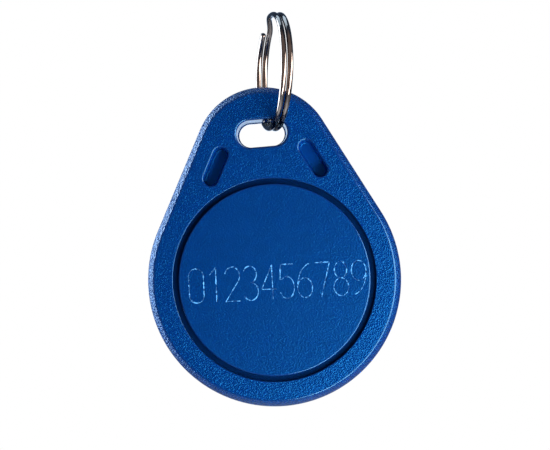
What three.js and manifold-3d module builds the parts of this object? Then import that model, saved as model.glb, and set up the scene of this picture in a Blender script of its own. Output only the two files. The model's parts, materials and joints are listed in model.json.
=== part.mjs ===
// Contactless transit token: a teardrop plastic fob that hangs on a two-turn split ring.
// Millimetres. +X right, +Y into the token from its reader face, +Z up towards the ring slot.
// Origin: the centre of the round cover on the reader face (the plane y = 0).

import * as THREE from 'three';
import { mergeVertices } from 'three/addons/utils/BufferGeometryUtils.js';
import Module from 'manifold-3d';

const wasm = await Module();
wasm.setup();

// ---- Driving dimensions -------------------------------------------------------------------------

const DEGREE = Math.PI / 180;
const SEAT_GAP = 0.05;          // clearance between two pieces that rest on each other

// teardrop body
const THICKNESS = 4.2;
const BOTTOM_RADIUS = 16.0;     // lower arc, centred on the origin
const TOP_RADIUS = 8.75;        // upper arc
const TOP_HEIGHT = 15.67;       // centre of the upper arc above the origin
const RIM_RADIUS = 2.0;         // round edge of both faces
const RIM_CREASE = 35;          // degrees of its quarter round left out where it meets the face

// ring slot
const SLOT_HEIGHT = 18.51;
const SLOT_LENGTH = 5.8;        // at its narrowest, near the back face
const SLOT_WIDTH = 2.98;
const SLOT_TAPER = 0.24;        // how far each wall spreads towards the reader face
const SLOT_FRONT_RIM = 0.28;    // quarter rounds on the two mouths
const SLOT_BACK_RIM = 0.2;
const SLOT_FLARE = 0.28;        // extra spread of the round ends, as a part of the walls' spread

// slanted blind pockets
const POCKET_OFFSET = 6.15;
const POCKET_HEIGHT = 14.8;
const POCKET_LENGTH = 5.15;
const POCKET_WIDTH = 1.87;
const POCKET_DEPTH = 2.4;
const POCKET_RIM = 0.15;
const POCKET_DRAFT = 0.1;

// cover disc, the groove round it and the cavity under it
const COVER_RADIUS = 12.07;
const COVER_THICKNESS = 0.8;
const COVER_CHAMFER = 0.15;
const GROOVE_RADIUS = 12.77;
const CAVITY_RADIUS = 11.8;
const FLOOR_THICKNESS = 0.9;
const SPIGOT_WALL = 0.75;       // locating ring under the cover
const SPIGOT_REACH = 1.1;

// antenna coil
const COIL_OUTER_RADIUS = 10.6;
const COIL_INNER_RADIUS = 9.0;
const COIL_HEIGHT = 1.2;
const COIL_CORNER = 0.3;
const LEAD_DIAMETER = 0.14;
const LEAD_SPREAD = 24;         // degrees below the board's level where each lead leaves the coil

// chip board
const BOARD_LENGTH = 8.0;
const BOARD_WIDTH = 5.0;
const BOARD_THICKNESS = 0.4;
const ADHESIVE_THICKNESS = 0.1;
const ADHESIVE_MARGIN = 0.6;
const PAD_LENGTH = 1.4;
const PAD_WIDTH = 3.0;
const PAD_THICKNESS = 0.05;
const PAD_OFFSET = 3.0;
const SOLDER_RADIUS = 0.55;
const SOLDER_HEIGHT = 0.4;
const DIE_SIDE = 1.0;
const DIE_THICKNESS = 0.25;
const CAP_RADIUS = 1.9;
const CAP_HEIGHT = 0.85;
const CAP_EDGE = 0.12;

// split ring
const RING_RADIUS = 7.2;        // to the wire's centre
const WIRE_DIAMETER = 0.72;
const TURN_PITCH = 0.82;        // between the two turns' centres
const STEP_PLACE = 205;         // degrees round from the lowest point, where the wire steps across
const STEP_SPAN = 34;           // degrees that the step takes
const RING_YAW = 13;            // degrees, how the ring is turned and leaned against the token
const RING_LEAN = 6;
const RING_CENTRE = new THREE.Vector3(2.22, THICKNESS / 2, 26.28);

// fineness
const ROUND_SEGMENTS = 72;
const SMALL_SEGMENTS = 24;
const LOWER_ARC_STEPS = 56;
const UPPER_ARC_STEPS = 24;
const OBROUND_STEPS = 10;
const RIM_STEPS = 4;
const RING_STEPS = 100;
const WIRE_SIDES = 8;

const CAVITY_FLOOR = THICKNESS - FLOOR_THICKNESS;

// ---- Outlines, as closed lists of [x, z] running anticlockwise seen from the front ---------------

function arc(centreX, centreZ, radius, from, to, steps) {
  return Array.from({ length: steps + 1 }, (_, i) => {
    const angle = from + (to - from) * i / steps;
    return [centreX + radius * Math.cos(angle), centreZ + radius * Math.sin(angle)];
  });
}

// Two arcs joined by their common tangents; an inset shrinks both radii by the same amount.
function teardrop(inset) {
  const flank = Math.asin((BOTTOM_RADIUS - TOP_RADIUS) / TOP_HEIGHT);
  const upper = arc(0, TOP_HEIGHT, TOP_RADIUS - inset, flank, Math.PI - flank, UPPER_ARC_STEPS);
  const lower = arc(0, 0, BOTTOM_RADIUS - inset, Math.PI - flank, 2 * Math.PI + flank, LOWER_ARC_STEPS);
  return [...upper, ...lower];
}

// A slot with round ends, turned by an angle about its own centre; a negative inset widens it.
function obround(length, width, x, z, turn, flare = 0) {
  return (inset) => {
    const reach = (length - width) / 2 - flare * inset;
    const radius = width / 2 - inset;
    const right = arc(reach, 0, radius, -Math.PI / 2, Math.PI / 2, OBROUND_STEPS);
    const left = arc(-reach, 0, radius, Math.PI / 2, 3 * Math.PI / 2, OBROUND_STEPS);
    return [...right, ...left].map(([u, v]) => [
      x + u * Math.cos(turn) - v * Math.sin(turn),
      z + u * Math.sin(turn) + v * Math.cos(turn),
    ]);
  };
}

// ---- Solids --------------------------------------------------------------------------------------

// Stacks one convex outline at several depths, front to back, and closes both ends with a fan.
function stack(outlineAt, levels) {
  const rings = levels.map(({ y, inset }) => outlineAt(inset).map(([x, z]) => [x, y, z]));
  const count = rings[0].length;
  const middle = (ring) => [0, 1, 2].map((k) => ring.reduce((sum, point) => sum + point[k], 0) / count);
  const points = [...rings.flat(), middle(rings[0]), middle(rings.at(-1))];
  const frontMiddle = rings.length * count;
  const backMiddle = frontMiddle + 1;
  const index = [];
  for (let i = 0; i < count; i++) {
    const next = (i + 1) % count;
    for (let level = 0; level + 1 < rings.length; level++) {
      const near = level * count;
      const far = near + count;
      index.push(near + i, far + i, near + next, near + next, far + i, far + next);
    }
    const last = (rings.length - 1) * count;
    index.push(frontMiddle, i, next);
    index.push(backMiddle, last + next, last + i);
  }
  const geometry = new THREE.BufferGeometry();
  geometry.setAttribute('position', new THREE.Float32BufferAttribute(points.flat(), 3));
  geometry.setIndex(index);
  return geometry;
}

// A solid of revolution about Y from [radius, y] pairs that go round it anticlockwise.
function turned(profile, segments = ROUND_SEGMENTS) {
  return new THREE.LatheGeometry(profile.map(([radius, y]) => new THREE.Vector2(radius, y)), segments);
}

function tube(curve, diameter, steps, sides) {
  const section = new THREE.Shape(arc(0, 0, diameter / 2, 0, 2 * Math.PI, sides)
    .slice(0, sides).map(([x, y]) => new THREE.Vector2(x, y)));
  return new THREE.ExtrudeGeometry(section, { steps, extrudePath: curve });
}

function toManifold(geometry) {
  const bare = geometry.clone();
  bare.deleteAttribute('normal');
  bare.deleteAttribute('uv');
  const merged = mergeVertices(bare, 1e-4);
  return new wasm.Manifold(new wasm.Mesh({
    numProp: 3,
    vertProperties: new Float32Array(merged.attributes.position.array),
    triVerts: new Uint32Array(merged.index.array),
  }));
}

function fromManifold(solid) {
  const { vertProperties, triVerts } = solid.getMesh();
  const geometry = new THREE.BufferGeometry();
  geometry.setAttribute('position', new THREE.BufferAttribute(vertProperties, 3));
  geometry.setIndex(new THREE.BufferAttribute(triVerts, 1));
  return geometry;
}

function cut(geometry, cutters) {
  const solid = cutters.reduce((left, cutter) => left.subtract(toManifold(cutter)), toManifold(geometry));
  return fromManifold(solid);
}

// ---- Token body ----------------------------------------------------------------------------------

// The rim: a quarter round whose first stretch is left out, so that it meets the face at a crease.
function rimLevels() {
  const start = RIM_CREASE * DEGREE;
  return Array.from({ length: RIM_STEPS + 1 }, (_, i) => {
    const angle = start + (Math.PI / 2 - start) * i / RIM_STEPS;
    return {
      y: RIM_RADIUS * (Math.cos(start) - Math.cos(angle)),
      inset: RIM_RADIUS * (1 - Math.sin(angle)),
    };
  });
}

function bodyBlank() {
  const front = rimLevels();
  const back = front.map(({ y, inset }) => ({ y: THICKNESS - y, inset })).reverse();
  return stack(teardrop, [...front, ...back]);
}

// A mouth's quarter round, from the face inward, on a wall that is already spread by some amount.
function mouthLevels(rim, spread) {
  return Array.from({ length: RIM_STEPS + 1 }, (_, i) => {
    const angle = (Math.PI / 2) * i / RIM_STEPS;
    return { y: rim * (1 - Math.cos(angle)), inset: -spread - rim * (1 - Math.sin(angle)) };
  });
}

// A slot that tapers towards the back, with both mouths rounded; it runs past both faces.
function slotCutter() {
  const front = mouthLevels(SLOT_FRONT_RIM, SLOT_TAPER);
  const back = mouthLevels(SLOT_BACK_RIM, 0).map(({ y, inset }) => ({ y: THICKNESS - y, inset })).reverse();
  const outline = obround(SLOT_LENGTH, SLOT_WIDTH, 0, SLOT_HEIGHT, 0, SLOT_FLARE);
  return stack(outline, [{ ...front[0], y: -1 }, ...front, ...back, { ...back.at(-1), y: THICKNESS + 1 }]);
}

function pocketCutter(side) {
  const flank = Math.asin((BOTTOM_RADIUS - TOP_RADIUS) / TOP_HEIGHT);
  const turn = Math.PI / 2 + side * flank;
  return stack(obround(POCKET_LENGTH, POCKET_WIDTH, side * POCKET_OFFSET, POCKET_HEIGHT, turn), [
    { y: -1, inset: -POCKET_RIM },
    { y: 0, inset: -POCKET_RIM },
    { y: POCKET_RIM, inset: 0 },
    { y: POCKET_DEPTH, inset: POCKET_DRAFT },
  ]);
}

function cavityCutter() {
  return turned([
    [0, -1],
    [GROOVE_RADIUS, -1],
    [GROOVE_RADIUS, COVER_THICKNESS],
    [CAVITY_RADIUS, COVER_THICKNESS],
    [CAVITY_RADIUS, CAVITY_FLOOR],
    [0, CAVITY_FLOOR],
  ]);
}

function tokenBody() {
  return cut(bodyBlank(), [slotCutter(), pocketCutter(1), pocketCutter(-1), cavityCutter()]);
}

// ---- Cover ---------------------------------------------------------------------------------------

function coverDisc() {
  const under = COVER_THICKNESS - SEAT_GAP;
  const spigotOuter = CAVITY_RADIUS - SEAT_GAP;
  const spigotInner = spigotOuter - SPIGOT_WALL;
  return turned([
    [0, 0],
    [COVER_RADIUS - COVER_CHAMFER, 0],
    [COVER_RADIUS, COVER_CHAMFER],
    [COVER_RADIUS, under],
    [spigotOuter, under],
    [spigotOuter, under + SPIGOT_REACH],
    [spigotInner, under + SPIGOT_REACH],
    [spigotInner, under],
    [0, under],
  ]);
}

// ---- Coil and its two leads ----------------------------------------------------------------------

const COIL_BACK = CAVITY_FLOOR - SEAT_GAP;
const COIL_FRONT = COIL_BACK - COIL_HEIGHT;

function antennaCoil() {
  return turned([
    [COIL_OUTER_RADIUS - COIL_CORNER, COIL_FRONT],
    [COIL_OUTER_RADIUS, COIL_FRONT + COIL_CORNER],
    [COIL_OUTER_RADIUS, COIL_BACK],
    [COIL_INNER_RADIUS, COIL_BACK],
    [COIL_INNER_RADIUS, COIL_FRONT + COIL_CORNER],
    [COIL_INNER_RADIUS + COIL_CORNER, COIL_FRONT],
    [COIL_OUTER_RADIUS - COIL_CORNER, COIL_FRONT],
  ]);
}

const BOARD_BACK = CAVITY_FLOOR - ADHESIVE_THICKNESS - 2 * SEAT_GAP;
const BOARD_FRONT = BOARD_BACK - BOARD_THICKNESS;
const PAD_FRONT = BOARD_FRONT - SEAT_GAP - PAD_THICKNESS;
const SOLDER_BACK = PAD_FRONT - SEAT_GAP;

// Each lead leaves the coil's inner wall, sags once in the plane of the token and ends at its solder joint.
function coilLead(side) {
  const angle = -LEAD_SPREAD * DEGREE;
  const reach = COIL_INNER_RADIUS - SEAT_GAP - LEAD_DIAMETER;
  const start = new THREE.Vector3(side * reach * Math.cos(angle), COIL_FRONT + COIL_CORNER, reach * Math.sin(angle));
  const end = new THREE.Vector3(
    side * (PAD_OFFSET + SOLDER_RADIUS + SEAT_GAP),
    SOLDER_BACK - LEAD_DIAMETER / 2,
    0,
  );
  const bend = new THREE.Vector3((start.x + 2 * end.x) / 3, (start.y + end.y) / 2, start.z);
  return tube(new THREE.QuadraticBezierCurve3(start, bend, end), LEAD_DIAMETER, 10, 6);
}

// ---- Chip board ----------------------------------------------------------------------------------

// A box by its middle in x, its back face in y, and its middle in z.
function plate(length, thickness, width, x, back) {
  return new THREE.BoxGeometry(length, thickness, width).translate(x, back - thickness / 2, 0);
}

function contactPad(side) {
  return plate(PAD_LENGTH, PAD_THICKNESS, PAD_WIDTH, side * PAD_OFFSET, BOARD_FRONT - SEAT_GAP);
}

function solderJoint(side) {
  const dome = arc(0, 0, 1, -Math.PI / 2, 0, 4)
    .map(([r, y]) => [r * SOLDER_RADIUS, SOLDER_BACK + y * SOLDER_HEIGHT]);
  dome[0][0] = 0;
  return turned([...dome, [0, SOLDER_BACK]], SMALL_SEGMENTS / 2).translate(side * PAD_OFFSET, 0, 0);
}

// The cap is a shallow dome with a pocket in its back that the die fits into.
function chipCap() {
  const back = BOARD_FRONT - SEAT_GAP;
  const pocketRadius = DIE_SIDE * Math.SQRT1_2 + SEAT_GAP;
  const pocketFront = back - DIE_THICKNESS - SEAT_GAP;
  const dome = arc(0, 0, 1, -Math.PI / 2, 0, 6)
    .map(([r, y]) => [r * CAP_RADIUS, back - CAP_EDGE + y * (CAP_HEIGHT - CAP_EDGE)]);
  dome[0][0] = 0;
  return turned([
    ...dome,
    [CAP_RADIUS, back],
    [pocketRadius, back],
    [pocketRadius, pocketFront],
    [0, pocketFront],
  ], SMALL_SEGMENTS);
}

// ---- Split ring ----------------------------------------------------------------------------------

// Nearly two full turns about local X. The wire keeps to one side, steps across once and goes on beside
// itself, and both of its ends stop at the step.
class SplitRingCurve extends THREE.Curve {
  getPoint(t, target = new THREE.Vector3()) {
    const half = STEP_SPAN / 2;
    const place = half + t * (720 - STEP_SPAN);
    const across = THREE.MathUtils.smoothstep(place, 360 - half, 360 + half) - 0.5;
    const angle = (place + STEP_PLACE) * DEGREE;
    return target.set(TURN_PITCH * across, -RING_RADIUS * Math.sin(angle), -RING_RADIUS * Math.cos(angle));
  }
}

// ---- Assembly ------------------------------------------------------------------------------------

function piece(name, geometry, color, roughness, metalness = 0) {
  const mesh = new THREE.Mesh(geometry, new THREE.MeshStandardMaterial({ color, roughness, metalness }));
  mesh.name = name;
  return mesh;
}

const token = new THREE.Group();
token.add(
  piece('token_body', tokenBody(), 0x0d4a96, 0.45),
  piece('cover_disc', coverDisc(), 0x0a458f, 0.55),
  piece('antenna_coil', antennaCoil(), 0xb4622e, 0.35, 0.9),
  piece('coil_lead_start', coilLead(-1), 0xb4622e, 0.35, 0.9),
  piece('coil_lead_finish', coilLead(1), 0xb4622e, 0.35, 0.9),
  piece(
    'board_adhesive',
    plate(BOARD_LENGTH - ADHESIVE_MARGIN, ADHESIVE_THICKNESS, BOARD_WIDTH - ADHESIVE_MARGIN, 0, CAVITY_FLOOR - SEAT_GAP),
    0xe6dfc4,
    0.6,
  ),
  piece('chip_board', plate(BOARD_LENGTH, BOARD_THICKNESS, BOARD_WIDTH, 0, BOARD_BACK), 0x2f6b3c, 0.5),
  piece('contact_pad_left', contactPad(-1), 0xd8b56a, 0.3, 1),
  piece('contact_pad_right', contactPad(1), 0xd8b56a, 0.3, 1),
  piece('solder_joint_left', solderJoint(-1), 0xb9bcc0, 0.3, 1),
  piece('solder_joint_right', solderJoint(1), 0xb9bcc0, 0.3, 1),
  piece('chip_die', plate(DIE_SIDE, DIE_THICKNESS, DIE_SIDE, 0, BOARD_FRONT - SEAT_GAP), 0x4a4e58, 0.2, 0.3),
  piece('chip_cap', chipCap(), 0x141414, 0.4),
);

const ring = piece('split_ring', tube(new SplitRingCurve(), WIRE_DIAMETER, RING_STEPS, WIRE_SIDES), 0xb8b4b0, 0.2, 1);
ring.position.copy(RING_CENTRE);
ring.rotation.set(0, RING_LEAN * DEGREE, RING_YAW * DEGREE, 'YZX');

const assembly = new THREE.Group();
assembly.add(token, ring);

export default assembly;
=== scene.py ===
import json
import math

import bmesh
import bpy
from mathutils import Matrix, Vector, noise
from mathutils.geometry import tessellate_polygon


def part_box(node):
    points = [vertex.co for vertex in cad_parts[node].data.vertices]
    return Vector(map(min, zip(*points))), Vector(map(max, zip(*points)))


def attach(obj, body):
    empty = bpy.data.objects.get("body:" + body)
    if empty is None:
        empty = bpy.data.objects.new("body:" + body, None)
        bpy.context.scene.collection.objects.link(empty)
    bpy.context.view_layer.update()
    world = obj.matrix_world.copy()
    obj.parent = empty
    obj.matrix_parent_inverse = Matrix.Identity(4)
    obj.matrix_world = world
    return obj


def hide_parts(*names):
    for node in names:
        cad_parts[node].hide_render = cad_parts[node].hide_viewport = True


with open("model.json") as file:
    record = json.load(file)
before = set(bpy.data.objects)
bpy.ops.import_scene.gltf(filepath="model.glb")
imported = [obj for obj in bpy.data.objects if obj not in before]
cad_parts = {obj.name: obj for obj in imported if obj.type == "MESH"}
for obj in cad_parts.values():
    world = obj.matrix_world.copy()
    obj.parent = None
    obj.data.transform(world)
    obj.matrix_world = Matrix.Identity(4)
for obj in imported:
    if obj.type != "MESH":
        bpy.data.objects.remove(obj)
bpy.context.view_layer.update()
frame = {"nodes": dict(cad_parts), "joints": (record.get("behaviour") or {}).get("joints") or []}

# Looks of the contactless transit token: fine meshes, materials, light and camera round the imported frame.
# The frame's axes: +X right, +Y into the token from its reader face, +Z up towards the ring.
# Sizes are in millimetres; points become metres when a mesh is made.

MM = 0.001


def node_box(name):
    """A CAD node's lowest and highest corners in millimetres."""
    return [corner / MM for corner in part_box(name)]


# ---- Sizes ---------------------------------------------------------------------------------------

BODY_LOW, BODY_HIGH = node_box("token_body")
THICKNESS = BODY_HIGH.y - BODY_LOW.y
BOTTOM_RADIUS = -BODY_LOW.z
TOP_RADIUS = 8.75
TOP_HEIGHT = BODY_HIGH.z - TOP_RADIUS                           # of the upper arc's centre
FLANK = math.asin((BOTTOM_RADIUS - TOP_RADIUS) / TOP_HEIGHT)    # how far each side leans inward

RIM_RADIUS = 2.0
RIM_CREASE = math.radians(35)       # the part of the rim's quarter round that is left out at the face
CREASE_FILLET = 0.4

SLOT_HEIGHT = 18.51                 # of its middle
SLOT_LENGTH = 5.8                   # at the back, like the width
SLOT_WIDTH = 2.98
SLOT_TAPER = 0.24                   # how much further out each wall stands at the front
SLOT_FLARE = 0.28                   # how much more than that the ends open, as a share of it
SLOT_FRONT_RIM = 0.28
SLOT_BACK_RIM = 0.2
SLOT_LEDGE = 0.07                   # width of the step where the two mould halves met in the slot
SLOT_LEDGE_DEPTH = 3.5

POCKET_OFFSET = 6.15
POCKET_HEIGHT = 14.8
POCKET_LENGTH = 5.15
POCKET_WIDTH = 1.87
POCKET_DEPTH = 2.4
POCKET_RIM = 0.2
POCKET_DRAFT = 0.1                  # how far each wall leans in by the floor
POCKET_CORNER = 0.25

COVER_HIGH = node_box("cover_disc")[1]
COVER_RADIUS = COVER_HIGH.z
COVER_EDGE = 0.18
GROOVE_RADIUS = 12.77
GROOVE_RIM = 0.1
LEDGE_DEPTH = 0.8                   # of the ledge that the cover's flange rests over
CAVITY_RADIUS = 11.8
BACK_WALL = 0.9
CAVITY_FLOOR = THICKNESS - BACK_WALL
SPIGOT_WALL = 0.75
SEAT_GAP = 0.05

DIGIT_HEIGHT = 4.3
DIGIT_WIDTH = 1.85
DIGIT_PITCH = 2.27
ROW_MIDDLE = Vector((0.38, 0, -0.27))
ROW_SLOPE = math.radians(-2)
STROKE_WIDTH = 0.16
STROKE_DEPTH = 0.06
BITE_MEAN = 0.7                     # the engraving's mean bite, as a share of the stroke's width and depth
BITE_WAVES = ((1.3, 0.8), (5, 0.9))     # (noise scale per mm, strength) of its two waves
BITE_LEAST = 0.15
BITE_MOST = 1.2

WIRE_DIAMETER = 0.72
RING_RADIUS = 7.2
TURN_PITCH = 0.82
STEP_PLACE = 205                    # where the wire steps across, in degrees from the ring's lowest point
STEP_SPAN = 34                      # how many degrees the step takes
WIRE_END_ROUND = 0.12

COIL_WIRE = 0.16
COIL_WIDTH = 1.6
COIL_CHAMFER = 0.2
TURN_BULGE = 0.3                    # how far a turn of wire stands out, as a share of its thickness

# The corner radius and the edge radius of each flat piece inside the token.
PLATE_ROUNDS = {
    "chip_board": (0.3, 0.04),
    "board_adhesive": (0.5, 0.03),
    "contact_pad_left": (0.2, 0.015),
    "contact_pad_right": (0.2, 0.015),
    "chip_die": (0.06, 0.01),
}

CAP_EDGE = 0.12                     # the epoxy cap's upright edge, and the pocket in its back over the die
CAP_BORE_RADIUS = 0.757
CAP_BORE_DEPTH = 0.3

# ---- Fineness ------------------------------------------------------------------------------------

LOWER_STEPS = 220
UPPER_STEPS = 90
OBROUND_STEPS = 32
ROUND_STEPS = 240
SMALL_ROUND_STEPS = 64
RIM_STEPS = 14
EDGE_STEPS = 6
PLATE_EDGE_STEPS = 3
DOME_STEPS = 16
BOW_STEPS = 24
STROKE_SPACING = 0.12               # millimetres between a stroke's sections
STROKE_SIDES = 8
BULGE_STEPS = 4
WIRE_SIDES = 32
RING_STEPS = 520

SHARP_ANGLE = 24                    # edges that turn by more degrees than this stay sharp
WIRE_SHARP_ANGLE = 40
FLATNESS = 0.0005                   # the greatest spread in depth of a face that counts as flat, in mm
MERGE_GAP = 0.001                   # cut edges shorter than this are dissolved, in mm


# ---- Outlines: closed lists of (x, z) ------------------------------------------------------------

def arc(x, z, radius, start, end, steps):
    """Points on a circle's arc, both ends included."""
    angles = (start + (end - start) * i / steps for i in range(steps + 1))
    return [(x + radius * math.cos(a), z + radius * math.sin(a)) for a in angles]


def teardrop(inset):
    """The body's outline: two arcs and their common tangents, all moved inward by the inset."""
    upper = arc(0, TOP_HEIGHT, TOP_RADIUS - inset, FLANK, math.pi - FLANK, UPPER_STEPS)
    lower = arc(0, 0, BOTTOM_RADIUS - inset, math.pi - FLANK, 2 * math.pi + FLANK, LOWER_STEPS)
    return upper + lower


def obround(length, width, x, z, turn=0.0, flare=0.0):
    """A function of the inset that gives a slot's outline; flare moves its ends more than its sides."""
    def outline(inset):
        reach = (length - width) / 2 - flare * inset
        radius = width / 2 - inset
        half = math.pi / 2
        points = arc(reach, 0, radius, -half, half, OBROUND_STEPS)
        points += arc(-reach, 0, radius, half, 3 * half, OBROUND_STEPS)
        c, s = math.cos(turn), math.sin(turn)
        return [(x + u * c - v * s, z + u * s + v * c) for u, v in points]
    return outline


def round_at(x=0.0, z=0.0, steps=ROUND_STEPS):
    """A function of the radius that gives a circle."""
    return lambda radius: arc(x, z, radius, 0, 2 * math.pi, steps)[:-1]


def quarter(size, steps=EDGE_STEPS):
    """A convex quarter round as (depth, inset) pairs, from the face inward."""
    angles = (math.pi / 2 * i / steps for i in range(steps + 1))
    return [(size * (1 - math.cos(a)), size * (1 - math.sin(a))) for a in angles]


def from_back(levels, back=THICKNESS):
    """The same levels counted from a back face, in order of depth."""
    return [(back - depth, inset) for depth, inset in reversed(levels)]


# ---- Meshes --------------------------------------------------------------------------------------

class Skin:
    """Rings of points at chosen depths, the walls between them and the flat faces that close them."""

    def __init__(self):
        self.points = []
        self.faces = []
        self.finishes = []

    def add_face(self, numbers, finish):
        """Adds a face over these point numbers; the finish is its material's number."""
        self.faces.append(tuple(numbers))
        self.finishes.append(finish)

    def ring(self, outline, depth):
        """Adds an outline of (x, z) pairs at a depth y and returns its point numbers."""
        first = len(self.points)
        self.points += [Vector((x, depth, z)) * MM for x, z in outline]
        return list(range(first, len(self.points)))

    def wall(self, outline_at, levels, finish=0, closed=False):
        """Joins an outline's rings at several (depth, size) levels; returns the first and the last."""
        rings = [self.ring(outline_at(size), depth) for depth, size in levels]
        pairs = list(zip(rings, rings[1:]))
        if closed:
            pairs.append((rings[-1], rings[0]))
        for near, far in pairs:
            for i in range(len(near)):
                j = (i + 1) % len(near)
                self.add_face((near[i], near[j], far[j], far[i]), finish)
        return rings[0], rings[-1]

    def flat(self, outer, *holes, finish=0):
        """Fills the plane between an outer ring and any holes in it."""
        if not holes:
            self.add_face(outer, finish)
            return
        loops = [outer, *holes]
        numbers = [n for loop in loops for n in loop]
        corners = [[self.points[n] for n in loop] for loop in loops]
        for face in tessellate_polygon(corners):
            self.add_face((numbers[k] for k in face), finish)

    def mesh(self, name):
        """The skin as a smoothed mesh."""
        mesh = bpy.data.meshes.new(name)
        mesh.from_pydata(self.points, [], self.faces)
        mesh.polygons.foreach_set("material_index", self.finishes)
        return smoothed(mesh)


def flat_level(mesh, face):
    """The depth of a face that lies in a plane across Y, in millimetres, or None for any other face."""
    depths = [mesh.vertices[v].co.y for v in face.vertices]
    if max(depths) - min(depths) > FLATNESS * MM:
        return None
    return round(depths[0] / MM, 2)


def smoothed(mesh, sharp_angle=SHARP_ANGLE):
    """Turns all faces outward and shades them smooth, except for the flat ones that lie across Y."""
    work = bmesh.new()
    work.from_mesh(mesh)
    bmesh.ops.recalc_face_normals(work, faces=work.faces)
    work.to_mesh(mesh)
    work.free()
    mesh.shade_smooth()
    mesh.set_sharp_from_angle(angle=math.radians(sharp_angle))
    levels = [flat_level(mesh, face) for face in mesh.polygons]
    facing = {}
    sides = {}
    for face, level in zip(mesh.polygons, levels):
        facing[level] = facing.get(level, 0) + face.area * face.normal.y
        for key in face.edge_keys:
            sides.setdefault(key, set()).add(level is None)
    for edge in mesh.edges:
        if len(sides[edge.key]) == 2:
            edge.use_edge_sharp = True
    normals = [(0, 0, 0)] * len(mesh.loops)
    for face, level in zip(mesh.polygons, levels):
        if level is not None:
            for loop in face.loop_indices:
                normals[loop] = (0, math.copysign(1, facing[level]), 0)
    mesh.normals_split_custom_set(normals)
    return mesh


def finished(mesh, *materials):
    """The mesh with its materials, in the order of its finish numbers."""
    for material in materials:
        mesh.materials.append(material)
    return mesh


def put(name, mesh, body, slot, *replaced):
    """Makes the mesh a piece that rides on a body and stands for CAD nodes, which it hides; slot is not
    used.
    """
    piece = bpy.data.objects.new(name, mesh)
    bpy.context.scene.collection.objects.link(piece)
    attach(piece, body)
    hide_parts(*replaced)


# ---- Token body ----------------------------------------------------------------------------------

BODY_FACE, BODY_EDGE, BODY_POCKET, BODY_GROOVE, BODY_RIM = range(5)     # its finish numbers


def rim_levels():
    """The rim from the face outward, in two parts: a fillet over the crease, and the quarter round."""
    width = RIM_RADIUS * (1 - math.sin(RIM_CREASE))
    tangent = CREASE_FILLET * math.tan(RIM_CREASE / 2)
    crease, side = [], []
    for i in range(EDGE_STEPS + 1):
        a = RIM_CREASE * i / EDGE_STEPS
        crease.append((
            CREASE_FILLET * (1 - math.cos(a)),
            width + tangent - CREASE_FILLET * math.sin(a),
        ))
    start = RIM_CREASE + tangent / RIM_RADIUS
    for i in range(1, RIM_STEPS + 1):
        a = start + (math.pi / 2 - start) * i / RIM_STEPS
        side.append((
            RIM_RADIUS * (math.cos(RIM_CREASE) - math.cos(a)),
            RIM_RADIUS * (1 - math.sin(a)),
        ))
    return crease, side


def body_mesh():
    """The body moulding: its rim, slot, two pockets, groove and cavity, and the two faces round them."""
    skin = Skin()
    crease, shoulder = rim_levels()
    face_edge, _ = skin.wall(teardrop, crease, BODY_EDGE)
    rim = crease[-1:] + shoulder + from_back(crease + shoulder)
    _, back_edge = skin.wall(teardrop, rim, BODY_RIM)

    slot = obround(SLOT_LENGTH, SLOT_WIDTH, 0, SLOT_HEIGHT, flare=SLOT_FLARE)
    front = [(depth, -SLOT_TAPER - inset) for depth, inset in quarter(SLOT_FRONT_RIM, RIM_STEPS)]
    ledge = [(SLOT_LEDGE_DEPTH, -SLOT_LEDGE), (SLOT_LEDGE_DEPTH, 0)]
    back = [(depth, -inset) for depth, inset in quarter(SLOT_BACK_RIM)]
    slot_front, slot_back = skin.wall(slot, front + ledge + from_back(back), BODY_EDGE)

    pockets = []
    for side in (1, -1):
        turn = math.pi / 2 + side * FLANK
        outline = obround(POCKET_LENGTH, POCKET_WIDTH, side * POCKET_OFFSET, POCKET_HEIGHT, turn)
        lip = [(depth, -inset) for depth, inset in quarter(POCKET_RIM)]
        corner = [(depth, POCKET_DRAFT + inset) for depth, inset in quarter(POCKET_CORNER)]
        opening, _ = skin.wall(outline, lip, BODY_EDGE)
        _, floor = skin.wall(outline, lip[-1:] + from_back(corner, POCKET_DEPTH), BODY_POCKET)
        skin.flat(floor, finish=BODY_POCKET)
        pockets.append(opening)

    lip = [(depth, GROOVE_RADIUS + inset) for depth, inset in quarter(GROOVE_RIM)]
    groove_edge, _ = skin.wall(round_at(), lip, BODY_EDGE)
    _, ledge_outer = skin.wall(round_at(), lip[-1:] + [(LEDGE_DEPTH, GROOVE_RADIUS)], BODY_GROOVE)
    cavity = [(LEDGE_DEPTH, CAVITY_RADIUS), (CAVITY_FLOOR, CAVITY_RADIUS)]
    ledge_inner, floor = skin.wall(round_at(), cavity, BODY_EDGE)
    skin.flat(ledge_outer, ledge_inner, finish=BODY_GROOVE)
    skin.flat(floor, finish=BODY_EDGE)

    skin.flat(face_edge, groove_edge, slot_front, *pockets, finish=BODY_FACE)
    skin.flat(back_edge, slot_back, finish=BODY_FACE)
    return skin.mesh("token_body_mesh")


# ---- Cover ---------------------------------------------------------------------------------------

COVER_FACE, COVER_STROKE, COVER_RIM = range(3)      # its finish numbers


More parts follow.
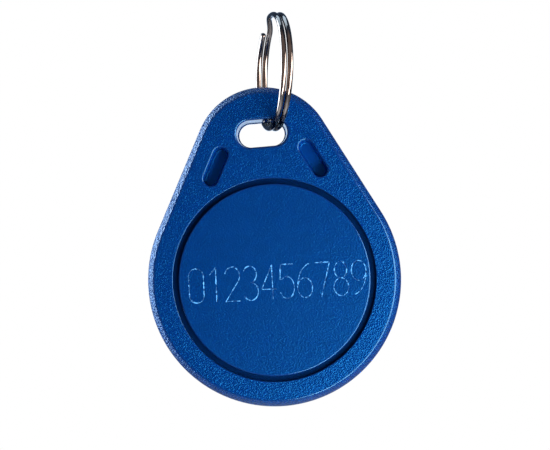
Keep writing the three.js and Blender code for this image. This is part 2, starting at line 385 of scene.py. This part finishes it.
def cover_blank():
    """The cover before it is engraved: a flat disc with a hollow spigot that fits the cavity."""
    skin = Skin()
    under = LEDGE_DEPTH - SEAT_GAP
    spigot = CAVITY_RADIUS - SEAT_GAP
    edge = [(depth, COVER_RADIUS - inset) for depth, inset in quarter(COVER_EDGE)]
    front, _ = skin.wall(round_at(), edge, COVER_RIM)
    _, flange = skin.wall(round_at(), edge[-1:] + [(under, COVER_RADIUS)], COVER_FACE)
    outer_top, outer_end = skin.wall(round_at(), [(under, spigot), (COVER_HIGH.y, spigot)], COVER_FACE)
    bore = spigot - SPIGOT_WALL
    inner_end, inner_top = skin.wall(round_at(), [(COVER_HIGH.y, bore), (under, bore)], COVER_FACE)
    skin.flat(front, finish=COVER_FACE)
    skin.flat(flange, outer_top, finish=COVER_FACE)
    skin.flat(outer_end, inner_end, finish=COVER_FACE)
    skin.flat(inner_top, finish=COVER_FACE)
    return skin.mesh("cover_blank_mesh")


def bow(x, z, across, up, start, end):
    """An elliptical stroke in a digit's unit box; the angles are in degrees."""
    angles = (math.radians(start + (end - start) * i / BOW_STEPS) for i in range(BOW_STEPS + 1))
    return [(x + across * math.cos(a), z + up * math.sin(a)) for a in angles]


# A plain single-line numeral for each of 0 to 9, as strokes in a box one unit wide and one high.
CURL = bow(0.5, 0.29, 0.5, 0.29, 180, 540)
TAIL = bow(1.0, 0.29, 1.0, 0.7, 180, 100)
DIGITS = [
    [bow(0.5, 0.78, 0.5, 0.22, 0, 180) + bow(0.5, 0.22, 0.5, 0.22, 180, 360) + [(1.0, 0.78)]],
    [[(0.2, 0.8), (0.62, 1.0), (0.62, 0.0)]],
    [bow(0.5, 0.74, 0.5, 0.26, 165, -35) + [(0.0, 0.0), (1.0, 0.0)]],
    [bow(0.48, 0.76, 0.44, 0.24, 155, -90) + bow(0.5, 0.26, 0.5, 0.26, 90, -155)],
    [[(0.75, 0.0), (0.75, 1.0), (0.0, 0.3), (1.0, 0.3)]],
    [[(0.95, 1.0), (0.12, 1.0), (0.05, 0.57)] + bow(0.5, 0.32, 0.5, 0.32, 130, -155)],
    [CURL, TAIL],
    [[(0.0, 1.0), (1.0, 1.0), (0.36, 0.0)]],
    [bow(0.5, 0.76, 0.42, 0.24, -90, 270), bow(0.5, 0.26, 0.5, 0.26, 90, 450)],
    [[(1 - x, 1 - z) for x, z in stroke] for stroke in (CURL, TAIL)],
]


def along(points, spacing):
    """The same path with evenly spaced points."""
    path = [points[0]]
    for start, end in zip(points, points[1:]):
        pieces = max(1, round((end - start).length / spacing))
        path += [start.lerp(end, i / pieces) for i in range(1, pieces + 1)]
    return path


def sweep(points, faces, path, sections):
    """Adds a tube with closed ends: sections gives each path point's ring of offsets."""
    first = len(points)
    sides = len(sections[0])
    for centre, section in zip(path, sections):
        points += [centre + offset for offset in section]
    for i in range(len(path) - 1):
        for k in range(sides):
            a = first + i * sides + k
            b = first + i * sides + (k + 1) % sides
            faces.append((a, b, b + sides, a + sides))
    faces.append(tuple(first + k for k in range(sides)))
    faces.append(tuple(len(points) - 1 - k for k in range(sides)))


def stroke_sections(path):
    """The cutter's lens-shaped sections along a stroke; its depth comes and goes like worn engraving."""
    sections = []
    for i, centre in enumerate(path):
        heading = (path[min(i + 1, len(path) - 1)] - path[max(i - 1, 0)]).normalized()
        side = Vector((-heading.z, 0, heading.x))
        bite = BITE_MEAN
        for scale, strength in BITE_WAVES:
            bite += strength * noise.noise(centre * scale)
        bite = min(BITE_MOST, max(BITE_LEAST, bite))
        ring = []
        for k in range(STROKE_SIDES):
            a = 2 * math.pi * k / STROKE_SIDES
            across = side * (STROKE_WIDTH / 2 * bite * math.cos(a))
            ring.append(across + Vector((0, STROKE_DEPTH * bite * math.sin(a), 0)))
        sections.append(ring)
    return sections


def digit_cutter():
    """One tube for each stroke of the row of numerals, centred on the cover's front face."""
    points, faces = [], []
    c, s = math.cos(ROW_SLOPE), math.sin(ROW_SLOPE)
    for digit, strokes in enumerate(DIGITS):
        left = (digit - (len(DIGITS) - 1) / 2) * DIGIT_PITCH - DIGIT_WIDTH / 2
        for stroke in strokes:
            flat = [(left + x * DIGIT_WIDTH, (z - 0.5) * DIGIT_HEIGHT) for x, z in stroke]
            path = [ROW_MIDDLE + Vector((u * c - v * s, 0, u * s + v * c)) for u, v in flat]
            path = along(path, STROKE_SPACING)
            sweep(points, faces, path, stroke_sections(path))
    mesh = bpy.data.meshes.new("digit_cutter_mesh")
    mesh.from_pydata([point * MM for point in points], [], faces)
    mesh.polygons.foreach_set("material_index", [COVER_STROKE] * len(faces))
    return smoothed(mesh)


def engraved(blank, cutter, finishes):
    """The blank with the cutter's shape taken out of it; cut faces keep the cutter's finish.

    The cut is worked out in millimetres, which suits the solver better than metres.
    """
    objects = []
    for mesh in (blank, cutter):
        mesh.transform(Matrix.Scale(1 / MM, 4))
        objects.append(bpy.data.objects.new(mesh.name, finished(mesh, *finishes)))
        bpy.context.scene.collection.objects.link(objects[-1])
    whole, tool = objects
    cut = whole.modifiers.new("cut", "BOOLEAN")
    cut.operation = "DIFFERENCE"
    cut.solver = "EXACT"
    cut.use_self = True
    cut.object = tool
    result = whole.evaluated_get(bpy.context.evaluated_depsgraph_get())
    mesh = bpy.data.meshes.new_from_object(result)
    mesh.name = "cover_disc_mesh"
    work = bmesh.new()
    work.from_mesh(mesh)
    bmesh.ops.dissolve_degenerate(work, dist=MERGE_GAP, edges=work.edges)
    bmesh.ops.delete(work, geom=[edge for edge in work.edges if edge.is_wire], context="EDGES")
    work.to_mesh(mesh)
    work.free()
    mesh.transform(Matrix.Scale(MM, 4))
    for item in objects:
        bpy.data.objects.remove(item)
    return smoothed(mesh)


# ---- Split ring ----------------------------------------------------------------------------------

def ring_frame():
    """The ring's own axes in the row frame: X along its axis, Z up across it, origin at its centre."""
    swing = next(j for j in frame["joints"] if j["name"] == "token_swing")
    axis = Vector(swing["axis"]).normalized()
    up = Vector((-axis.z, 0, axis.x)).normalized()
    turned = Matrix((axis, up.cross(axis), up)).transposed().to_4x4()
    return Matrix.Translation(Vector(swing["pos_m"])) @ turned


def wire_centre(place):
    """A point of the wire's centreline in the ring's own axes; place runs in degrees along the wire."""
    half = STEP_SPAN / 2
    t = min(1, max(0, (place - 360 + half) / STEP_SPAN))
    across = t * t * (3 - 2 * t) - 0.5
    angle = math.radians(place + STEP_PLACE)
    return Vector((TURN_PITCH * across, -RING_RADIUS * math.sin(angle), -RING_RADIUS * math.cos(angle)))


def wire_stations():
    """(place, radius) pairs along the wire, with a rounded edge at both cut ends."""
    radius = WIRE_DIAMETER / 2
    first = STEP_SPAN / 2
    last = 720 - first
    reach = math.degrees(WIRE_END_ROUND / RING_RADIUS)
    ends = []
    for i in range(EDGE_STEPS):
        a = math.pi / 2 * i / EDGE_STEPS
        ends.append((reach * (1 - math.cos(a)), radius - WIRE_END_ROUND * (1 - math.sin(a))))
    middle = last - first - 2 * reach
    stations = [(first + offset, size) for offset, size in ends]
    stations += [(first + reach + middle * i / RING_STEPS, radius) for i in range(RING_STEPS + 1)]
    stations += [(last - offset, size) for offset, size in reversed(ends)]
    return stations


def ring_mesh():
    """The split ring: its wire swept along two turns, in the row frame."""
    axis = Vector((1, 0, 0))
    path, sections = [], []
    for place, radius in wire_stations():
        heading = (wire_centre(place + 0.5) - wire_centre(place - 0.5)).normalized()
        side = (axis - heading * axis.dot(heading)).normalized()
        out = heading.cross(side)
        angles = [2 * math.pi * k / WIRE_SIDES for k in range(WIRE_SIDES)]
        path.append(wire_centre(place))
        sections.append([(side * math.cos(a) + out * math.sin(a)) * radius for a in angles])
    points, faces = [], []
    sweep(points, faces, path, sections)
    to_row = ring_frame()
    mesh = bpy.data.meshes.new("split_ring_mesh")
    mesh.from_pydata([to_row @ (point * MM) for point in points], [], faces)
    return smoothed(mesh, WIRE_SHARP_ANGLE)


# ---- Inner pieces --------------------------------------------------------------------------------

def scallops(start, end):
    """Points from start to end with one shallow round bulge for each turn of wire that lies there."""
    span = end - start
    steps = max(1, round(span.length / COIL_WIRE)) * BULGE_STEPS
    outward = Vector((span.y, -span.x)).normalized()
    bulge = COIL_WIRE * TURN_BULGE
    points = []
    for i in range(steps):
        lift = bulge * math.sin(math.pi * (i % BULGE_STEPS) / BULGE_STEPS)
        points.append(start + span * (i / steps) - outward * (bulge - lift))
    return points


def coil_mesh():
    """The wound coil: the CAD ring's section, with the turns of wire showing on all four sides."""
    low, high = node_box("antenna_coil")
    outer = high.x
    inner = outer - COIL_WIDTH
    corners = [
        Vector((low.y, inner + COIL_CHAMFER)),
        Vector((low.y, outer - COIL_CHAMFER)),
        Vector((low.y + COIL_CHAMFER, outer)),
        Vector((high.y, outer)),
        Vector((high.y, inner)),
        Vector((low.y + COIL_CHAMFER, inner)),
    ]
    levels = []
    for i, corner in enumerate(corners):
        levels += scallops(corner, corners[(i + 1) % len(corners)])
    skin = Skin()
    skin.wall(round_at(), [tuple(level) for level in levels], closed=True)
    return skin.mesh("coil_mesh")


def dome_mesh(name, node, edge=0, bore=None):
    """A shallow dome in the CAD node's box, on an upright edge; bore is the (radius, depth) of a round
    pocket in its back."""
    low, high = node_box(node)
    middle_x = (low.x + high.x) / 2
    middle_z = (low.z + high.z) / 2
    radius = (high.x - low.x) / 2
    rise = high.y - low.y - edge
    levels = []
    for i in range(1, DOME_STEPS + 1):
        a = math.pi / 2 * i / DOME_STEPS
        levels.append((high.y - edge - rise * math.cos(a), radius * math.sin(a)))
    if edge:
        levels.append((high.y, radius))
    skin = Skin()
    outline = round_at(middle_x, middle_z, SMALL_ROUND_STEPS)
    crown, base = skin.wall(outline, levels)
    skin.flat(crown)
    if bore:
        mouth, end = skin.wall(outline, [(high.y, bore[0]), (high.y - bore[1], bore[0])])
        skin.flat(base, mouth)
        skin.flat(end)
    else:
        skin.flat(base)
    return skin.mesh(name)


def plate_mesh(name, node):
    """A flat plate in the CAD node's box, with rounded corners and softened edges."""
    low, high = node_box(node)
    corner, edge = PLATE_ROUNDS[node]

    def outline(inset):
        points = []
        box_corners = ((high.x, high.z), (low.x, high.z), (low.x, low.z), (high.x, low.z))
        for k, (x, z) in enumerate(box_corners):
            across = -1 if x == high.x else 1
            up = -1 if z == high.z else 1
            centre = (x + across * corner, z + up * corner)
            points += arc(*centre, corner - inset, math.pi / 2 * k, math.pi / 2 * (k + 1), EDGE_STEPS)
        return points

    rounded = quarter(edge, PLATE_EDGE_STEPS)
    near = [(low.y + depth, inset) for depth, inset in rounded]
    skin = Skin()
    front, back = skin.wall(outline, near + from_back(rounded, high.y))
    skin.flat(front)
    skin.flat(back)
    return skin.mesh(name)


# ---- Materials -----------------------------------------------------------------------------------

TEXTURE_TURN = (0.5, 0.8, 0.3)              # in radians
TEXTURE_SHIFT = (0.013, 0.021, 0.017)       # in metres
NOISE_LOW = 0.3                             # most of a noise texture's values lie between these two
NOISE_HIGH = 0.7


class Nodes:
    """A short way to wire one material's nodes; textures' scales are per metre."""

    def __init__(self, name):
        self.material = bpy.data.materials.new(name)
        self.material.use_nodes = True
        self.tree = self.material.node_tree
        self.shader = self.tree.nodes["Principled BSDF"]

    def add(self, kind, **settings):
        """A new node with these inputs set."""
        node = self.tree.nodes.new(kind)
        for key, value in settings.items():
            node.inputs[key].default_value = value
        return node

    def link(self, source, target):
        self.tree.links.new(source, target)

    def feed(self, name, source):
        """Links a source to one of the shader's inputs."""
        self.link(source, self.shader.inputs[name])

    def set(self, **values):
        """Sets the shader's own inputs, whose names are written here with underscores."""
        for key, value in values.items():
            self.shader.inputs[key.replace("_", " ")].default_value = value

    def place(self):
        """The object's own coordinates, turned so that no flat face lies along a texture's lattice."""
        turned = self.add("ShaderNodeMapping", Rotation=TEXTURE_TURN, Location=TEXTURE_SHIFT)
        self.link(self.add("ShaderNodeTexCoord").outputs["Object"], turned.inputs["Vector"])
        return turned.outputs["Vector"]

    def noise(self, scale, detail=2.0, roughness=0.5):
        texture = self.add("ShaderNodeTexNoise", Scale=scale, Detail=detail, Roughness=roughness)
        self.link(self.place(), texture.inputs["Vector"])
        return texture.outputs["Fac"]

    def cells(self, scale):
        texture = self.add("ShaderNodeTexVoronoi", Scale=scale)
        self.link(self.place(), texture.inputs["Vector"])
        return texture.outputs["Distance"]

    def ramp(self, factor, stops):
        """A colour that runs between two (position, colour) stops."""
        ramp = self.add("ShaderNodeValToRGB")
        elements = ramp.color_ramp.elements
        for element, (position, colour) in zip(elements, stops):
            element.position = position
            element.color = (*colour, 1)
        self.link(factor, ramp.inputs["Fac"])
        return ramp.outputs["Color"]

    def spread(self, factor, low, high):
        """A noise's usual values, mapped onto the range from low to high."""
        limits = {"From Min": NOISE_LOW, "From Max": NOISE_HIGH, "To Min": low, "To Max": high}
        mapped = self.add("ShaderNodeMapRange", **limits)
        self.link(factor, mapped.inputs["Value"])
        return mapped.outputs["Result"]

    def bump(self, height, distance, below=None):
        """A normal bumped by up to a distance in millimetres, over another bump if one is below it."""
        bump = self.add("ShaderNodeBump", Strength=1.0, Distance=distance * MM)
        self.link(height, bump.inputs["Height"])
        if below is not None:
            self.link(below, bump.inputs["Normal"])
        return bump.outputs["Normal"]


BLUE_DARK = (0.0002, 0.0134, 0.083)
BLUE_LIGHT = (0.0003, 0.0156, 0.096)
BLUE_SHEEN = (0.03, 0.42, 1.0)
PALE_SHEEN = (0.22, 0.65, 1.0)
# The groove's dimmed reflection tint, part of its painted shade.
DARK_SHEEN = (0.01, 0.1, 0.3)
STROKE_SHEEN = (0.2, 0.65, 1.0)
PLASTIC_IOR = 1.53
GLOSS_SPREAD = 0.015                # how far the roughness strays to either side
FACET_SCALE = 0.85                  # of the grain's facets, as a share of the grain's own scale


def blue_plastic(name, roughness, grain, height, facets=0.0, gain=1.0, sheen=BLUE_SHEEN):
    """Moulded blue ABS; grain is its texture's scale, and height and facets are its depths in mm. Gain
    scales its colour; the pocket's lighter copy and the groove's darker copy use it as painted light and
    painted shade.
    """
    nodes = Nodes(name)
    nodes.set(IOR=PLASTIC_IOR, Subsurface_Weight=0.3, Subsurface_Scale=0.0006)
    nodes.set(Specular_Tint=(*sheen, 1.0), Subsurface_Radius=(0.05, 0.4, 1.0))
    dark, light = ([gain * part for part in colour] for colour in (BLUE_DARK, BLUE_LIGHT))
    nodes.feed("Base Color", nodes.ramp(nodes.noise(700, 3), [(NOISE_LOW, dark), (NOISE_HIGH, light)]))
    gloss = nodes.spread(nodes.noise(900), roughness - GLOSS_SPREAD, roughness + GLOSS_SPREAD)
    nodes.feed("Roughness", gloss)
    normal = nodes.bump(nodes.noise(grain, 3, 0.55), height)
    if facets:
        normal = nodes.bump(nodes.cells(grain * FACET_SCALE), facets, normal)
    nodes.feed("Normal", normal)
    return nodes.material


def engraving_finish():
    """Blue plastic lightened in broken patches along the strokes: painted highlights for the glints that
    the engraved grooves catch.
    """
    nodes = Nodes("engraved_strokes")
    nodes.set(IOR=PLASTIC_IOR, Specular_Tint=(*STROKE_SHEEN, 1.0))
    # Painted highlights: the light-blue patches stand in for glints along the strokes.
    painted_glint_patches = nodes.ramp(nodes.noise(2600, 2), [(0.44, (0.0004, 0.016, 0.1)), (0.56, (0.07, 0.27, 0.54))])
    nodes.feed("Base Color", painted_glint_patches)
    nodes.feed("Roughness", nodes.spread(nodes.noise(4000), 0.25, 0.45))
    nodes.feed("Normal", nodes.bump(nodes.noise(9000, 2), 0.04))
    return nodes.material


def nickel_wire():
    """Polished nickel plating, slightly wavy and uneven in tone."""
    nodes = Nodes("polished_nickel")
    nodes.set(Metallic=1.0)
    dark, light = (0.15, 0.112, 0.094), (0.28, 0.22, 0.188)
    nodes.feed("Base Color", nodes.ramp(nodes.noise(600, 4), [(NOISE_LOW, dark), (NOISE_HIGH, light)]))
    nodes.feed("Roughness", nodes.spread(nodes.noise(1800, 3), 0.05, 0.09))
    nodes.feed("Normal", nodes.bump(nodes.noise(1200, 2), 0.004))
    return nodes.material


def copper_wire():
    """Copper wire under a clear coat of enamel."""
    nodes = Nodes("enamelled_copper")
    nodes.set(Metallic=1.0, Coat_Weight=0.6, Coat_Roughness=0.15)
    dark, light = (0.5, 0.16, 0.05), (0.78, 0.32, 0.12)
    nodes.feed("Base Color", nodes.ramp(nodes.noise(900, 3), [(NOISE_LOW, dark), (NOISE_HIGH, light)]))
    nodes.feed("Roughness", nodes.spread(nodes.noise(3000), 0.2, 0.36))
    nodes.feed("Normal", nodes.bump(nodes.noise(5000, 2), 0.01))
    return nodes.material


# The plainer surfaces: dark tone, light tone, roughness, texture scale and grain height in millimetres.
SURFACES = {
    "floor_paint": ((0.84, 0.88, 0.92), (0.88, 0.92, 0.95), 0.6, 40, 0.02),
    "solder_mask": ((0.012, 0.11, 0.035), (0.02, 0.16, 0.06), 0.35, 1500, 0.004),
    "adhesive_film": ((0.7, 0.64, 0.44), (0.82, 0.77, 0.6), 0.6, 900, 0.01),
    "gold_plate": ((0.72, 0.46, 0.16), (0.85, 0.6, 0.26), 0.25, 1800, 0.003),
    "tin_solder": ((0.5, 0.51, 0.54), (0.72, 0.73, 0.76), 0.28, 2500, 0.008),
    "silicon_die": ((0.05, 0.055, 0.075), (0.1, 0.11, 0.15), 0.12, 6000, 0.001),
    "black_epoxy": ((0.004, 0.004, 0.005), (0.012, 0.012, 0.013), 0.2, 1200, 0.008),
}
METALS = ("gold_plate", "tin_solder")


def speckled(name):
    """One of the plainer surfaces: two tones in soft patches, uneven gloss and a fine grain."""
    dark, light, roughness, scale, height = SURFACES[name]
    nodes = Nodes(name)
    nodes.set(Metallic=float(name in METALS))
    nodes.feed("Base Color", nodes.ramp(nodes.noise(scale, 3), [(0.35, dark), (0.65, light)]))
    nodes.feed("Roughness", nodes.spread(nodes.noise(scale * 2), roughness * 0.8, roughness * 1.2))
    nodes.feed("Normal", nodes.bump(nodes.cells(scale * 3), height))
    return nodes.material


# ---- Light, floor and camera ---------------------------------------------------------------------

MIDDLE = Vector((0.65, 0, 6.86))        # the point that the camera and the lights face
WHITE = (1, 1, 1)

# The soft boxes: name, place from the middle, width, height, power in watts and colour.
LIGHTS = [
    ("key_box", (112, -98, -22), 92, 240, 0.88, WHITE),
    ("top_box", (-30, 50, 160), 130, 90, 0.1, (0.5, 0.76, 1.0)),
    ("low_box", (30, -125, -105), 45, 35, 0.12, WHITE),
    ("left_box", (-164, 62, 30), 265, 100, 1.25, (0.65, 0.83, 1.0)),
]

FLOOR_RADIUS = 600
FLOOR_HEIGHT = -200

CAMERA_EYE = Vector((0.5, -200, 4))
CAMERA_ROLL = math.radians(5)
CAMERA_LENS = 104.33
SENSOR_WIDTH = 36

# The surround's colour by the Y part of the direction, from straight in front to straight behind.
SURROUND = [
    (-0.4, (0.42, 0.38, 0.38)),
    (-0.1, (0.05, 0.085, 0.15)),
    (0.945, (0.05, 0.085, 0.15)),
    (0.978, (0.95, 1.25, 1.65)),
]


def area_light(name, place, width, height, power, colour):
    """A soft box at a place measured from the token's middle, turned to face it."""
    data = bpy.data.lights.new(name, "AREA")
    data.shape = "RECTANGLE"
    data.size = width * MM
    data.size_y = height * MM
    data.energy = power
    data.color = colour
    light = bpy.data.objects.new(name, data)
    light.location = (MIDDLE + Vector(place)) * MM
    light.rotation_euler = (-Vector(place)).to_track_quat("-Z", "Z").to_euler()
    bpy.context.scene.collection.objects.link(light)


def studio_world():
    """Dim in front, dark at the sides and pale straight behind the token; seen directly it is white."""
    world = bpy.data.worlds.new("studio")
    bpy.context.scene.world = world
    world.use_nodes = True
    tree = world.node_tree
    background = tree.nodes["Background"]
    place = tree.nodes.new("ShaderNodeTexCoord")
    split = tree.nodes.new("ShaderNodeSeparateXYZ")
    halved = tree.nodes.new("ShaderNodeMapRange")
    halved.inputs["From Min"].default_value = -1
    ramp = tree.nodes.new("ShaderNodeValToRGB")
    path = tree.nodes.new("ShaderNodeLightPath")
    choose = tree.nodes.new("ShaderNodeMix")
    choose.data_type = "RGBA"
    elements = ramp.color_ramp.elements
    while len(elements) < len(SURROUND):
        elements.new(0.5)
    for element, (toward_back, colour) in zip(elements, SURROUND):
        element.position = (toward_back + 1) / 2
        element.color = (*colour, 1)
    tree.links.new(place.outputs["Generated"], split.inputs[0])
    tree.links.new(split.outputs["Y"], halved.inputs["Value"])
    tree.links.new(halved.outputs["Result"], ramp.inputs["Fac"])
    tree.links.new(path.outputs["Is Camera Ray"], choose.inputs["Factor"])
    tree.links.new(ramp.outputs["Color"], choose.inputs["A"])
    choose.inputs["B"].default_value = (*WHITE, 1)
    tree.links.new(choose.outputs["Result"], background.inputs["Color"])


def floor_disc():
    """A plain pale disc well below the hanging token."""
    skin = Skin()
    skin.flat(skin.ring(round_at()(FLOOR_RADIUS), 0))
    floor = bpy.data.objects.new("floor", finished(skin.mesh("floor_mesh"), speckled("floor_paint")))
    floor.rotation_euler = (math.pi / 2, 0, 0)
    floor.location = (0, 0, FLOOR_HEIGHT * MM)
    bpy.context.scene.collection.objects.link(floor)


def camera():
    """A long lens straight in front of the token, rolled so that the token hangs askew as it does."""
    data = bpy.data.cameras.new("camera")
    data.sensor_width = SENSOR_WIDTH
    data.lens = CAMERA_LENS
    data.clip_start = 0.01
    data.clip_end = 10
    toward = (MIDDLE - CAMERA_EYE).normalized()
    up = Vector((math.sin(CAMERA_ROLL), 0, math.cos(CAMERA_ROLL)))
    right = toward.cross(up).normalized()
    up = right.cross(toward)
    turned = Matrix((right, up, -toward)).transposed().to_4x4()
    view = bpy.data.objects.new("camera", data)
    view.matrix_world = Matrix.Translation(CAMERA_EYE * MM) @ turned
    bpy.context.scene.collection.objects.link(view)
    bpy.context.scene.camera = view


# ---- Pieces --------------------------------------------------------------------------------------

def token_body(edge_plastic):
    """The body moulding in its five finishes."""
    mesh = body_mesh()
    finishes = {
        BODY_FACE: blue_plastic("grained_plastic", 0.15, grain=5600, height=0.05, facets=0.036, gain=1.06),
        BODY_EDGE: edge_plastic,
        # Painted light: a copy of the blue plastic 2.2 times lighter in the pockets, standing in for light
        # that does not reach their walls and floors.
        BODY_POCKET: blue_plastic("pocket_painted_light_plastic", 0.3, grain=3000, height=0.006, gain=2.2),
        # Painted shade: a darker copy of the blue plastic, with a dimmed reflection tint, for the shade in
        # the groove and on its ledge.
        BODY_GROOVE: blue_plastic("shaded_plastic", 0.4, 3000, 0.006, gain=0.45, sheen=DARK_SHEEN),
        BODY_RIM: blue_plastic("rim_plastic", 0.13, grain=5000, height=0.1, facets=0.08),
    }
    put("body_shell", finished(mesh, *finishes.values()), "token", "body_plastic", "token_body")


def cover_disc(edge_plastic):
    """The engraved cover in its three finishes."""
    finishes = {
        COVER_FACE: blue_plastic("matte_plastic", 0.3, grain=5200, height=0.026, facets=0.026),
        COVER_STROKE: engraving_finish(),
        COVER_RIM: edge_plastic,
    }
    mesh = engraved(cover_blank(), digit_cutter(), finishes.values())
    put("cover_plate", mesh, "token", "cover_plastic", "cover_disc")


def split_ring():
    """The ring that the token hangs from."""
    put("ring_wire", finished(ring_mesh(), nickel_wire()), "split_ring", "plated_wire", "split_ring")


def antenna():
    """The wound coil, and the two leads, which keep their CAD meshes."""
    copper = copper_wire()
    put("coil_winding", finished(coil_mesh(), copper), "token", "copper", "antenna_coil")
    for node in ("coil_lead_start", "coil_lead_finish"):
        frame["nodes"][node].data.materials[0] = copper


def chip_board():
    """The board on its adhesive pad, with two contacts, two solder joints and the chip under its cap."""
    board = finished(plate_mesh("board_mesh", "chip_board"), speckled("solder_mask"))
    put("board_plate", board, "token", "board", "chip_board")

    pad = finished(plate_mesh("adhesive_mesh", "board_adhesive"), speckled("adhesive_film"))
    put("adhesive_pad", pad, "token", "adhesive", "board_adhesive")

    gold = speckled("gold_plate")
    solder = speckled("tin_solder")
    for side in ("left", "right"):
        contact = finished(plate_mesh(f"contact_{side}_mesh", f"contact_pad_{side}"), gold)
        put(f"contact_{side}", contact, "token", "contact", f"contact_pad_{side}")
        bead = finished(dome_mesh(f"bead_{side}_mesh", f"solder_joint_{side}"), solder)
        put(f"bead_{side}", bead, "token", "solder", f"solder_joint_{side}")

    die = finished(plate_mesh("die_mesh", "chip_die"), speckled("silicon_die"))
    put("die_plate", die, "token", "silicon", "chip_die")

    cap = dome_mesh("cap_mesh", "chip_cap", CAP_EDGE, (CAP_BORE_RADIUS, CAP_BORE_DEPTH))
    put("epoxy_cap", finished(cap, speckled("black_epoxy")), "token", "epoxy", "chip_cap")


# ---- Everything ----------------------------------------------------------------------------------

camera()
studio_world()
floor_disc()
for light in LIGHTS:
    area_light(*light)

smooth_plastic = blue_plastic("smooth_plastic", 0.13, grain=4200, height=0.012, sheen=PALE_SHEEN)
token_body(smooth_plastic)
cover_disc(smooth_plastic)
split_ring()
antenna()
chip_board()

bpy.context.scene.view_settings.view_transform = "Standard"
